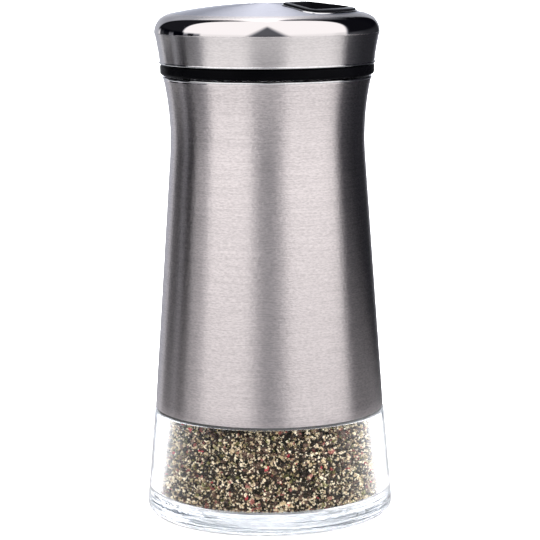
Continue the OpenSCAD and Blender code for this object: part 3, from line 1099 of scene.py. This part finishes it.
@dataclass
class Spice:
    """Coarse ground mixed pepper: rough chips of several kinds on a solid heart, up against the glass."""

    jar: Jar
    top_z: float
    crown: float = 2.0
    gap: float = 0.12
    heart_depth: float = 0.75
    chip_depth: float = 0.45
    seed: int = 11
    chips_per_mm2: float = 3.4
    sleeve_share: float = 0.25
    sleeve_edge_h: float = 3.0
    size_bias: float = 2.2
    depth_bias: float = 1.5
    widths: Point = (0.5, 0.9)
    thicknesses: Point = (0.3, 0.8)
    lumps: Point = (0.72, 1.18)

    def _kinds(self) -> tuple[Grind, ...]:
        """The kinds of granule and their tones.

        Returns:
            The kinds, in the order in which they are strewn.
        """
        cream = Peppercorn("pepper_cream", (0.13, 0.09, 0.045), (0.86, 0.74, 0.50), (1.0, 0.95, 0.80))
        tan = Peppercorn("pepper_tan", (0.07, 0.045, 0.02), (0.50, 0.38, 0.21), (0.82, 0.68, 0.46))
        soot = (0.002, 0.0018, 0.0012)
        black = Peppercorn("pepper_black", soot, (0.011, 0.009, 0.006), (0.07, 0.055, 0.04))
        umber = (0.013, 0.008, 0.006)
        brown = Peppercorn("pepper_brown", umber, (0.075, 0.045, 0.033), (0.26, 0.17, 0.125))
        green = Peppercorn("pepper_green", (0.03, 0.03, 0.01), (0.15, 0.14, 0.05), (0.42, 0.40, 0.18))
        rose = Peppercorn("pepper_rose", (0.07, 0.018, 0.015), (0.28, 0.09, 0.075), (0.55, 0.28, 0.22))
        red = Peppercorn("pepper_red", (0.12, 0.008, 0.015), (0.48, 0.025, 0.05), (0.70, 0.16, 0.16))
        return (
            Grind(cream, share=0.37, small=0.22, large=0.58),
            Grind(tan, share=0.20, small=0.24, large=0.66),
            Grind(black, share=0.22, small=0.28, large=0.90),
            Grind(brown, share=0.16, small=0.30, large=1.15),
            Grind(green, share=0.038, small=0.30, large=0.90),
            Grind(rose, share=0.02, small=0.45, large=1.3),
            Grind(red, share=0.006, small=0.5, large=1.0),
        )

    def _outline(self) -> list[Point]:
        """The heap's outline, from the middle of the floor up the wall and over to the middle of its top.

        Returns:
            Its (radius, height) points.
        """
        wall_z = self.top_z - self.crown
        side = [p for p in self.jar.inner_line(self.gap) if p[1] < wall_z]
        steps = 12
        turns = [math.radians(90 * i / steps) for i in range(steps)]
        top = [(side[-1][0] * math.cos(t), wall_z + self.crown * math.sin(t)) for t in turns]
        return side + top + [(0.0, wall_z + self.crown)]

    @staticmethod
    def _seed_chip() -> tuple[np.ndarray, np.ndarray]:
        """A twenty-sided body from which every chip is made.

        Returns:
            Its corners, each 1 from its middle, and its faces by corner.
        """
        golden = (1 + 5**0.5) / 2
        signs = [(a, b) for a in (-1, 1) for b in (-golden, golden)]
        corners = [(0, a, b) for a, b in signs]
        corners += [(a, b, 0) for a, b in signs]
        corners += [(b, 0, a) for a, b in signs]
        base = np.array(corners, float)
        side = 2.0
        near = np.linalg.norm(base[:, None] - base[None], axis=2) < side * 1.05
        faces = []
        for i, j, k in combinations(range(len(base)), 3):
            if near[i, j] and near[j, k] and near[i, k]:
                outwards = np.cross(base[j] - base[i], base[k] - base[i]) @ base[i] > 0
                faces.append((i, j, k) if outwards else (i, k, j))
        return base / np.linalg.norm(base[0]), np.array(faces)

    def _spots(self, rng: np.random.Generator, count: int) -> tuple[np.ndarray, np.ndarray]:
        """Places for chips on the heap's skin, fewer of them where the sleeve hides it.

        Args:
            rng: The source of chance.
            count: How many.

        Returns:
            The places and the outward directions there, each as (chip, axis).
        """
        outline = np.array(self._outline())
        step = np.diff(outline, axis=0)
        length = np.linalg.norm(step, axis=1)
        weight = length * (outline[:-1, 0] + outline[1:, 0])
        weight[outline[:-1, 1] > self.jar.band_h + self.sleeve_edge_h] *= self.sleeve_share
        index = rng.choice(len(step), count, p=weight / weight.sum())
        radius, height = (outline[index] + step[index] * rng.random(count)[:, None]).T
        out_r, out_z = step[index, 1] / length[index], -step[index, 0] / length[index]
        angle = rng.random(count) * TURN
        cos, sin = np.cos(angle), np.sin(angle)
        return (
            np.stack([radius * cos, radius * sin, height], 1),
            np.stack([out_r * cos, out_r * sin, out_z], 1),
        )

    def _granules(self, rng: np.random.Generator, grind: Grind, count: int) -> Object:
        """All the chips of one kind as one piece, turned at random and reaching up to the heap's skin.

        Args:
            rng: The source of chance.
            grind: Their kind.
            count: How many.

        Returns:
            The piece.
        """
        base, faces = self._seed_chip()
        spots, out = self._spots(rng, count)
        length = grind.small + (grind.large - grind.small) * rng.random(count) ** self.size_bias
        width = length * rng.uniform(*self.widths, count)
        thickness = length * rng.uniform(*self.thicknesses, count)
        scale = np.stack([length, width, thickness], 1)
        thin = rng.normal(size=(count, 3))
        wide = np.cross(thin, rng.normal(size=(count, 3)))
        axes = np.stack([np.cross(wide, thin), wide, thin], 2)
        axes /= np.linalg.norm(axes, axis=1)[:, None]
        chips = base[None] * scale[:, None] * rng.uniform(*self.lumps, (count, len(base), 1))
        chips = np.einsum("nij,nkj->nki", axes, chips)
        reach = np.einsum("nki,ni->nk", chips, out).max(1)
        depth = rng.random(count) ** self.depth_bias * self.chip_depth
        chips += (spots - out * (reach + depth)[:, None])[:, None]
        triangles = (faces[None] + len(base) * np.arange(count)[:, None, None]).reshape(-1, 3)
        mesh = bpy.data.meshes.new("chips")
        mesh.from_pydata((chips.reshape(-1, 3) * MM).tolist(), [], triangles.tolist())
        tone = mesh.attributes.new(TONE, "FLOAT", "POINT")
        tone.data.foreach_set("value", np.repeat(rng.random(count), len(base)).astype(np.float32))
        return new_object(grind.finish.name, mesh, grind.finish.material(), 20)

    def build(self) -> None:
        """Makes the heart and the chips of every kind."""
        rng = np.random.default_rng(self.seed)
        outline = self._outline()
        mesh = lathe_mesh(inset(outline, self.heart_depth), 96, closed=False)
        dust = Peppercorn("pepper_dust", (0.015, 0.012, 0.009), (0.05, 0.04, 0.03), (0.15, 0.11, 0.075))
        settle(new_object("spice_heart", mesh, dust.material()), Body.JAR, "ground_spice", "spice_fill")
        line = np.array(outline)
        lengths = np.linalg.norm(np.diff(line, axis=0), axis=1)
        area = float((lengths * TURN * (line[:-1, 0] + line[1:, 0]) / 2).sum())
        for grind in self._kinds():
            piece = self._granules(rng, grind, int(area * self.chips_per_mm2 * grind.share))
            settle(piece, Body.JAR, "ground_spice")


@dataclass
class Lid:
    """The screw collar and the turning cap on it. Lengths are in millimetres."""

    line: CapLine
    window: WindowLine
    ring_z: float
    ring_r: float
    sheet: float = 0.5
    bezel_wall: float = 0.8
    lip_w: float = 0.95
    lip_h: float = 0.7
    lip_edge_r: float = 0.22
    rim_gap: float = 0.03
    fit_gap: float = 0.05
    liner_under: float = 1.85
    plate_top: float = 2.05
    bore_r: float = 20.5
    collar_r: float = 22.5
    guide_r: float = 23.5
    seat_r: float = 21.2
    land_r: float = 16.8
    ring_h: float = 2.5
    guide_h: float = 1.7
    flange_h: float = 1.2
    edge_r: float = 0.4
    chamfer: float = 0.2
    plate_edge_r: float = 0.6
    thread_sink: float = 0.1
    thread_h: float = 0.95
    thread_turns: float = 1.3
    bead_sink: float = 0.05
    bead_h: float = 0.3
    satin_from: float = 64.0
    crown_from: float = 88.0

    def cap(self) -> None:
        """The steel cap with its cut-out."""
        outer, inner = self.line.shell(0.0), self.line.shell(self.sheet)
        mesh = lathe_mesh(outer + inner[::-1], closed=False)
        turn, low = self.line.shoulder_r, self.line.shoulder_z
        limits = (math.radians(angle) for angle in (self.satin_from, self.crown_from))
        satin, crown = (low + turn * math.sin(angle) for angle in limits)
        steel = CapSteel("cap_steel", self.line.low_z, low, satin, crown)
        cap = new_object("cap_steel", mesh, steel.material(), 30)
        outline = self.window.points(self.bezel_wall + self.fit_gap)
        over = 2.0
        ends = [[(x, y, z) for x, y in outline] for z in (low, self.line.crown_z + over)]
        cut(cap, loft_mesh(ends, closed=False))
        settle(cap, Body.DIAL, "polished_cap", "cap_shell")

    def _round_window(self, path: Sequence[Point], grow: float = 0.0) -> Mesh:
        """A section swept round the window on the crown.

        Args:
            path: The section, as (outwards, upwards) points.
            grow: How far outside the window's outline the section's origin runs.

        Returns:
            The mesh.
        """
        rings = []
        for out, height in path:
            outline = self.window.points(grow + out)
            rings.append([(x, y, self.line.crown_at(math.hypot(x, y), -height)) for x, y in outline])
        return loft_mesh(rings)

    def bezel(self) -> None:
        """The trim round the cut-out: a wall through the sheet and a rounded lip over it."""
        wall, lip, high = self.bezel_wall, self.bezel_wall + self.lip_w, self.lip_h
        soft, turns = self.lip_edge_r, (0.4, 0.8, 1.2)
        path = [(0.0, -self.liner_under), (0.0, high - soft)]
        path += [(soft * (1 - math.cos(a)), high - soft + soft * math.sin(a)) for a in turns]
        path += [(soft, high), (lip - soft, high)]
        path += [(lip - soft + soft * math.sin(a), high - soft + soft * math.cos(a)) for a in turns]
        path += [(lip, high - soft), (lip, self.fit_gap), (wall, self.fit_gap), (wall, -self.liner_under)]
        plastic = Plastic("bezel_black", (0.002, 0.002, 0.0025), 0.16, shine=0.012)
        bezel = new_object("bezel_trim", self._round_window(path), plastic.material(), 40)
        settle(bezel, Body.DIAL, "black_bezel", "window_bezel")

    def rim(self) -> None:
        """The bright edge of the cut-out, a fine bead round the trim whose near-white steel is partly a
        painted highlight.
        """
        near = self.bezel_wall + self.lip_w + self.rim_gap
        top = [(0.0, 0.17), (0.08, 0.24), (0.2, 0.26), (0.33, 0.2), (0.42, 0.04)]
        path = [(0.0, -0.2), *top, (0.42, -0.2)]
        mesh = self._round_window(path, near)
        settle(new_object("window_rim", mesh, EDGE_HIGHLIGHT_STEEL.material(), 50), Body.DIAL, "polished_cap")

    def hem(self) -> None:
        """The bright bead at the cap's hem, whose near-white steel is partly a painted highlight."""
        bead = edge_bead("cap_hem", self.line.low_r - self.bead_sink, self.line.low_z + self.bead_h)
        settle(bead, Body.DIAL, "polished_cap")

    def collar(self, gasket_top: float, thread: Thread) -> None:
        """The black collar with its grip ring and the ridge in its bore, half a lead above the neck's.

        Args:
            gasket_top: The height of the gasket's upper face.
            thread: The screw that it shares with the neck.
        """
        low, edge, cut_off = self.ring_z, self.edge_r, self.chamfer
        top = low + self.ring_h
        guide_top = top + self.guide_h
        soft = self.plate_edge_r
        edge_z = self.line.crown_at(self.collar_r - soft, self.plate_top) - soft
        seat = gasket_top + self.flange_h
        profile = (
            [(self.bore_r, low + cut_off), (self.bore_r + cut_off, low)]
            + arc((self.ring_r - 2 * edge, low + 2 * edge), 2 * edge, -90, 0, 10)
            + arc((self.ring_r - edge, top - edge), edge, 0, 90, 8)
            + [(self.guide_r, top), (self.guide_r, guide_top - cut_off)]
            + [(self.guide_r - cut_off, guide_top), (self.collar_r, guide_top)]
            + arc((self.collar_r - soft, edge_z), soft, 0, 90, 8)
            + [(self.seat_r, self.line.crown_at(self.seat_r, self.plate_top)), (self.seat_r, seat)]
            + [(self.land_r, seat), (self.land_r, gasket_top), (self.bore_r, gasket_top)]
        )
        plastic = Plastic("collar_black", (0.0006, 0.0006, 0.0008), 0.24, shine=0.014)
        mesh = lathe_mesh(profile)
        collar = new_object("collar_ring", mesh, plastic.material(), 40)
        settle(collar, Body.COLLAR, "black_collar", "screw_collar")
        root_r, crest_r = self.bore_r + self.thread_sink, self.bore_r - self.thread_h
        ridge = thread.ridge(root_r, crest_r, self.thread_turns, thread.lead / 2)
        thread_piece = new_object("collar_thread", ridge, collar.data.materials[0], 60)
        settle(thread_piece, Body.COLLAR, "black_collar")


def dress(node: str, material: Material) -> None:
    """Gives a CAD node that stays in view its finish.

    Args:
        node: The node's name.
        material: Its finish.
    """
    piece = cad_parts[node]
    piece.data.materials.clear()
    piece.data.materials.append(material)
    LOG.info("%s keeps its CAD shape", node)


# ---------------------------------------------------------------- studio


@dataclass(frozen=True)
class Flag:
    """A dark panel of the studio, by its direction from the shaker in degrees.

    Azimuth 0 is the front and 90 the right; elevation 0 is level.
    """

    middle: float
    half: float
    level: float
    soft: float = 3.0
    low: float = -70.0
    high: float = 46.0
    soft_up: float = 4.0
    taper: float = 0.0
    lean: float = 0.0

    def shade(self, azimuth: Value, elevation: Value) -> Value:
        """What the panel leaves of the light behind it.

        Args:
            azimuth: The direction looked in, in degrees round the shaker.
            elevation: The same, in degrees up from level.

        Returns:
            The panel's level inside it and 1 outside.
        """
        up = elevation.at_least(0.0)
        back = up * up * (self.lean / 2)
        off = abs(azimuth - self.middle - back * math.copysign(1.0, self.middle)) + back + up * self.taper
        across = off.below(self.half, self.soft)
        return 1.0 - across * elevation.between(self.low, self.high, self.soft_up) * (1 - self.level)


@dataclass
class Studio:
    """A pale floor, soft white surroundings, and the tent of screens that the steel mirrors."""

    tent_r: float = 8.0
    tent_z: float = 0.06
    table_r: float = 0.14
    backdrop_r: float = 7.0
    floor_reach: float = 12.0
    paths: int = 32
    lens: float = 146.6
    camera_place: tuple[float, float, float] = (0.0, -0.5285, 0.1414)
    camera_down: float = 8.89
    camera_yaw: float = -0.04
    camera_roll: float = -0.37
    flags: tuple[Flag, ...] = (
        Flag(124.5, 36.5, 0.07, soft=3, high=75, lean=0.0095),
        Flag(125.5, 35.5, 0.05, soft=3, low=7, high=75, lean=0.0095),
        Flag(136, 26, 0.4, soft=14, high=10),
        Flag(81, 8, 0.85, soft=6, high=10),
        Flag(168, 7, 0.5, soft=5),
        Flag(-120.5, 26, 0.01, soft=2, low=6, high=75, lean=0.0063),
        Flag(-84, 12.7, 0.17, soft=2, high=9, soft_up=6),
        Flag(-83.3, 4, 0.0, soft=1.5, low=-12, high=9),
        Flag(-101.7, 8.3, 0.0, soft=1, high=12),
        Flag(-114, 3.6, 0.38, soft=1, high=12),
        Flag(-123.8, 6, 0.15, soft=1, high=12),
        Flag(-128.4, 10.8, 0.05, soft=1, low=-17, high=12),
        Flag(-109, 11, 0.4, soft=3, low=-4, high=12),
        Flag(-158, 16, 0.55, soft=6, low=-24),
        Flag(-155, 14, 0.75, soft=8, low=14, high=62, soft_up=8),
        Flag(155, 14, 0.75, soft=8, low=14, high=62, soft_up=8),
        Flag(0.5, 19.8, 0.1, soft=5.5, low=-16, high=60, soft_up=12, taper=0.31),
    )

    def floor(self) -> None:
        """A wide pale floor."""
        paint = Paint.material("studio_floor")
        tone = paint.noise(paint.where(), 0.05, 3.0).spread(0.99, 1.0)
        material = paint.surface(Base_Color=paint.tinted((0.94, 0.94, 0.945), tone), Roughness=0.8)
        mesh = bpy.data.meshes.new("floor")
        reach = self.floor_reach
        corners = [(-reach, -reach, 0), (reach, -reach, 0), (reach, reach, 0), (-reach, reach, 0)]
        mesh.from_pydata(corners, [], [(0, 1, 2, 3)])
        floor = new_object("floor", mesh, material)
        floor.visible_glossy = False

    def _glow(self, name: str, mesh: Mesh, colour: Socket, paint: Paint) -> Object:
        """A glowing screen that neither the camera nor matt surfaces see.

        Args:
            name: The screen's name.
            mesh: Its mesh.
            colour: What it glows with.
            paint: The material that the colour belongs to.

        Returns:
            The screen.
        """
        light = paint.node("ShaderNodeEmission", {}, {"Color": colour, "Strength": 1.0})
        paint.node("ShaderNodeOutputMaterial", {}, {"Surface": light.outputs[0]})
        paint.owner.cycles.emission_sampling = "NONE"
        screen = new_object(name, mesh, paint.owner)
        screen.visible_camera = screen.visible_diffuse = screen.visible_shadow = False
        screen.visible_transmission = screen.visible_volume_scatter = False
        return screen

    def tent(self) -> None:
        """The tent round the shaker: bright in front and above, dark panels at the sides."""
        paint = Paint.material("studio_tent")
        x, y, z = paint.place()
        azimuth = x.angle_from(y * -1.0)
        elevation = z.angle_from(x.hypot(y))
        behind = abs(azimuth).step(138, 150)
        ceiling = 0.18
        front_up, back_up = elevation.step(2, 14, 0.0, ceiling), elevation.step(24, 32, 0.0, ceiling)
        upper = front_up * (1.0 - behind) + back_up * behind
        level = elevation.step(-32, -4, 0.92, 1.08) + upper
        for flag in self.flags:
            level = level * flag.shade(azimuth, elevation)
        over = elevation.step(38, 52)
        level = level + over * behind * 0.22
        warm = paint.mix(level.step(0.1, 0.85), (0.93, 0.96, 1.07), (1.0, 0.985, 0.985))
        tint = paint.mix(behind * (1.0 - over), warm, (0.84, 0.87, 0.96))
        sockets = {0: paint.tinted(tint, level), 1: (0.001, 0.001, 0.003)}
        glow = paint.node("ShaderNodeVectorMath", {"operation": "ADD"}, sockets)
        skin = bmesh.new()
        bmesh.ops.create_uvsphere(skin, u_segments=64, v_segments=32, radius=self.tent_r)
        self._glow("tent", finished(skin), glow.outputs[0], paint).location.z = self.tent_z

    def table(self) -> None:
        """A small pale table under the shaker, whiter behind it, where the sides of the glass mirror it."""
        paint = Paint.material("studio_table")
        _, y, _ = paint.place()
        rim = self.table_r / MM
        mesh = lathe_mesh([(0.0, 0.0), (rim, 0.0)], 96, closed=False)
        self._glow("table", mesh, paint.tinted((1.0, 0.99, 1.02), y.step(25, 45, 0.6, 0.75)), paint)

    def backdrop(self) -> None:
        """A pale striped cloth far behind and around, which shows only through the glass of the foot."""
        paint = Paint.material("studio_backdrop")
        x, y, z = paint.place()
        stripe = paint.drawn_out(x, y, z * 0.006, 0.0001, rough=0.6)
        tone = stripe.spread(0.16, 0.95, 0.1)
        reach = self.backdrop_r / MM
        line = [(reach, reach * math.tan(math.radians(up))) for up in (1.0, 24.0)]
        mesh = lathe_mesh(line, 96, closed=False)
        cloth = self._glow("backdrop", mesh, paint.tinted((0.94, 0.97, 1.0), tone), paint)
        cloth.visible_glossy, cloth.visible_transmission = False, True

    def light(self) -> None:
        """White surroundings, brighter at both sides, a soft lamp and long light paths for thick glass."""
        paint = Paint(bpy.data.worlds.new("studio"))
        x, _, _ = paint.sky()
        right, left = x.step(0.3, 1.0, 1.35, 16.0), x.step(-1.0, -0.3, 4.5, 0.0)
        white = {"Color": (1.0, 1.0, 1.0, 1.0), "Strength": right + left}
        glow = paint.node("ShaderNodeBackground", {}, white)
        paint.node("ShaderNodeOutputWorld", {}, {"Surface": glow.outputs[0]})
        paint.owner.cycles_visibility.glossy = False
        bpy.context.scene.world = paint.owner
        lamp = bpy.data.lights.new("soft_lamp", "AREA")
        lamp.shape, lamp.size, lamp.energy = "DISK", 0.9, 9.0
        stand = bpy.data.objects.new("soft_lamp", lamp)
        stand.location = (-0.35, -0.7, 1.1)
        aim = Vector((0, 0, self.tent_z)) - stand.location
        stand.rotation_euler = aim.to_track_quat("-Z", "Y").to_euler()
        stand.visible_glossy = False
        bpy.context.scene.collection.objects.link(stand)
        light_paths = bpy.context.scene.cycles
        light_paths.max_bounces = light_paths.glossy_bounces = light_paths.transmission_bounces = self.paths

    def camera(self) -> None:
        """A long lens a little above the cap, at the height and distance that give the shaker's outline."""
        data = bpy.data.cameras.new("camera")
        data.sensor_width = 36.0
        data.lens = self.lens
        camera = bpy.data.objects.new("camera", data)
        bpy.context.scene.collection.objects.link(camera)
        camera.location = self.camera_place
        camera.rotation_euler = (math.radians(90 - self.camera_down), 0.0, math.radians(self.camera_yaw))
        camera.rotation_euler.rotate_axis("Z", math.radians(self.camera_roll))
        bpy.context.scene.camera = camera

    def build(self) -> None:
        """Sets up the whole studio."""
        bpy.context.scene.view_settings.view_transform = "Standard"
        self.camera()
        self.floor()
        self.tent()
        self.table()
        self.backdrop()
        self.light()


def main() -> None:
    """Builds the shaker's looks and its studio."""
    logging.basicConfig(level=logging.INFO, format="%(name)s: %(message)s")
    Studio().build()

    low, high = {}, {}
    measured = ("steel_sleeve", "glass_jar", "sleeve_foot_seal", "sleeve_bond_ring", "neck_gasket")
    for node in (*measured, "cap_shell", "screw_collar", "spice_fill"):
        low[node], high[node] = (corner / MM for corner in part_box(node))
    sleeve_top, glass, ring = high["steel_sleeve"].z, high["glass_jar"], high["screw_collar"]

    line = WaistLine(foot_z=low["steel_sleeve"].z, foot_r=high["steel_sleeve"].x)
    shoulder_z = low["sleeve_bond_ring"].z
    thread = Thread(shoulder_z)
    jar = Jar(line, thread, low["sleeve_foot_seal"].z, foot_r=glass.x, rim_z=glass.z, shoulder_z=shoulder_z)
    jar.glass()
    jar.sleeve(sleeve_top)
    jar.sleeve_edge(sleeve_top)
    Spice(jar, top_z=high["spice_fill"].z).build()

    cap_line = CapLine(low_z=low["cap_shell"].z, top_r=high["cap_shell"].x)
    lid = Lid(cap_line, WindowLine(), ring_z=low["screw_collar"].z, ring_r=ring.x)
    lid.cap()
    lid.bezel()
    lid.rim()
    lid.hem()
    lid.collar(high["neck_gasket"].z, thread)

    # The seal's near-black is partly its own grey and partly painted shade under the sleeve's lower edge.
    dress("sleeve_foot_seal", Plastic("seal_grey_and_painted_shade", (0.03, 0.03, 0.031), 0.5, shine=0.1).material())
    dress("sleeve_bond_ring", Plastic("bond_pale", (0.62, 0.60, 0.55), 0.5, 0.4).material())
    dress("cap_bond_bead", Plastic("bead_pale", (0.62, 0.60, 0.55), 0.5, 0.4).material())
    dress("neck_gasket", Plastic("gasket_white", (0.80, 0.80, 0.77), 0.6, 0.15, 0.00002).material())
    dress("pour_plate", Plastic("plate_black", (0.010, 0.010, 0.012), 0.34, 0.2, shine=0.35).material())
    dress("dial_liner", Plastic("liner_black", (0.010, 0.010, 0.012), 0.42, 0.2, shine=0.35).material())
    steel = PlainSteel("hub_steel").material()
    dress("hub_washer", steel)
    dress("hub_screw", steel)


if __name__ == "__main__":
    main()
